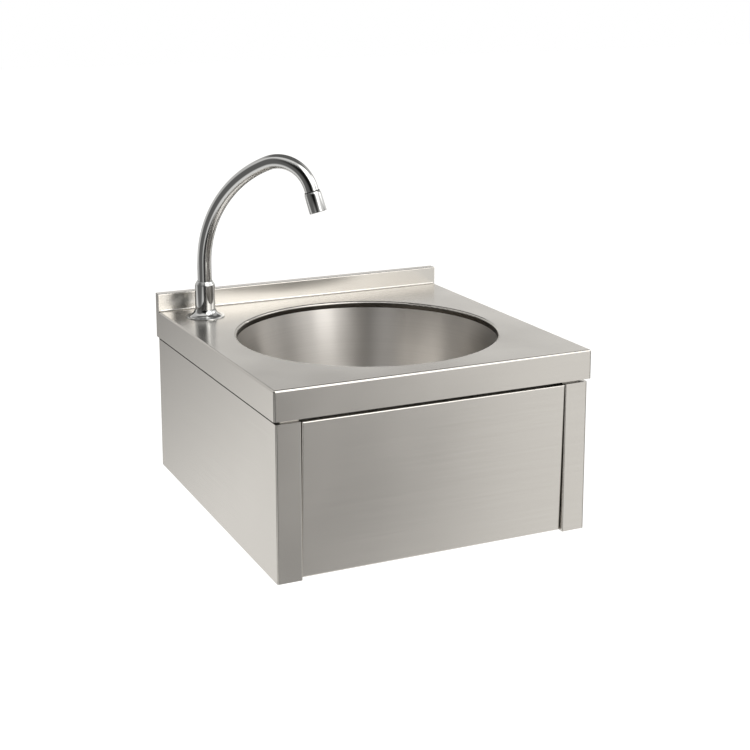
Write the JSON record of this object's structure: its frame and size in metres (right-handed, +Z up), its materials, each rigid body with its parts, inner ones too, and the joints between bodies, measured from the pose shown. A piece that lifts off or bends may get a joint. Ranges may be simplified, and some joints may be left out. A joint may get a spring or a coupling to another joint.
{
  "type": "hand wash basin",
  "caption": "Wall-hung stainless steel hand wash basin with a round drawn bowl, a chrome gooseneck spout, and a front panel that opens a self-closing valve when a knee pushes it.",
  "frame": {"origin": "on the wall face, on the centre line, at the height of the deck's top", "axes": "+X to the user's right, +Y into the wall, +Z up"},
  "size_m": [0.4, 0.41, 0.4338],
  "materials": {
    "brushed_sheet": "satin-brushed stainless sheet",
    "satin_bowl": "satin drawn stainless steel",
    "polished_chrome": "polished chrome plate on brass",
    "bare_brass": "turned brass",
    "black_rubber": "black rubber",
    "white_nylon": "white nylon",
    "grey_plastic": "grey moulded plastic",
    "spring_steel": "bright drawn spring wire",
    "copper_tube": "bare copper tube"
  },
  "bodies": {
    "basin": {"deck_top": "brushed_sheet", "bowl": "satin_bowl", "left_side_panel": "brushed_sheet", "right_side_panel": "brushed_sheet", "front_rail": "brushed_sheet", "wall_frame": "brushed_sheet", "valve_bracket": "brushed_sheet", "stop_brackets": "brushed_sheet", "stop_buffers": "black_rubber", "hinge_pins": "spring_steel", "hinge_clips": "spring_steel", "valve_body": "bare_brass", "valve_lock_nut": "bare_brass", "valve_cap": "bare_brass", "plunger_spring": "spring_steel", "mixer_body": "bare_brass", "mixer_union_nut": "bare_brass", "inlet_check_valves": "white_nylon", "riser_tube": "copper_tube", "riser_nuts": "bare_brass", "spout_shank": "bare_brass", "deck_gasket": "black_rubber", "spout_flange": "polished_chrome", "spout_collar": "polished_chrome", "under_deck_gasket": "black_rubber", "under_deck_washer": "spring_steel", "shank_nut": "bare_brass", "spout_o_rings": "black_rubber", "waste_strainer": "satin_bowl", "waste_screw": "spring_steel", "waste_top_washer": "black_rubber", "waste_gasket": "black_rubber", "waste_body": "grey_plastic"},
    "knee_panel": {"knee_panel": "brushed_sheet", "hinge_bushes": "white_nylon", "push_pad": "white_nylon"},
    "plunger": {"valve_plunger": "spring_steel", "plunger_seal": "black_rubber"},
    "spout": {"spout_tube": "polished_chrome", "swivel_ring": "white_nylon", "aerator_housing": "polished_chrome", "aerator_washer": "black_rubber", "aerator_insert": "white_nylon"},
    "temperature_knob": {"mixer_spindle": "bare_brass", "temperature_knob": "grey_plastic", "knob_screw": "spring_steel"}
  },
  "joints": [
    {"name": "knee_panel_push", "type": "hinge", "parent": "basin", "child": "knee_panel", "pos_m": [0, -0.398, -0.05], "axis": [1, 0, 0], "range_deg": [0, 5]},
    {"name": "valve_plunger_slide", "type": "slide", "parent": "basin", "child": "plunger", "axis": [0, 1, 0], "range_m": [0, 0.0089], "stiffness_N_per_m": 800, "springref_m": -0.006, "deforming": ["plunger_spring"]},
    {"name": "spout_swivel", "type": "hinge", "parent": "basin", "child": "spout", "pos_m": [-0.153, -0.0585, 0], "axis": [0, 0, 1], "range_deg": [-60, 60]},
    {"name": "temperature_turn", "type": "hinge", "parent": "basin", "child": "temperature_knob", "pos_m": [-0.105, -0.335, 0], "axis": [0, 0, 1], "range_deg": [-60, 60]}
  ],
  "couplings": [
    {"joint": "valve_plunger_slide", "follows": "knee_panel_push", "m_per_rad": 0.10174}
  ]
}
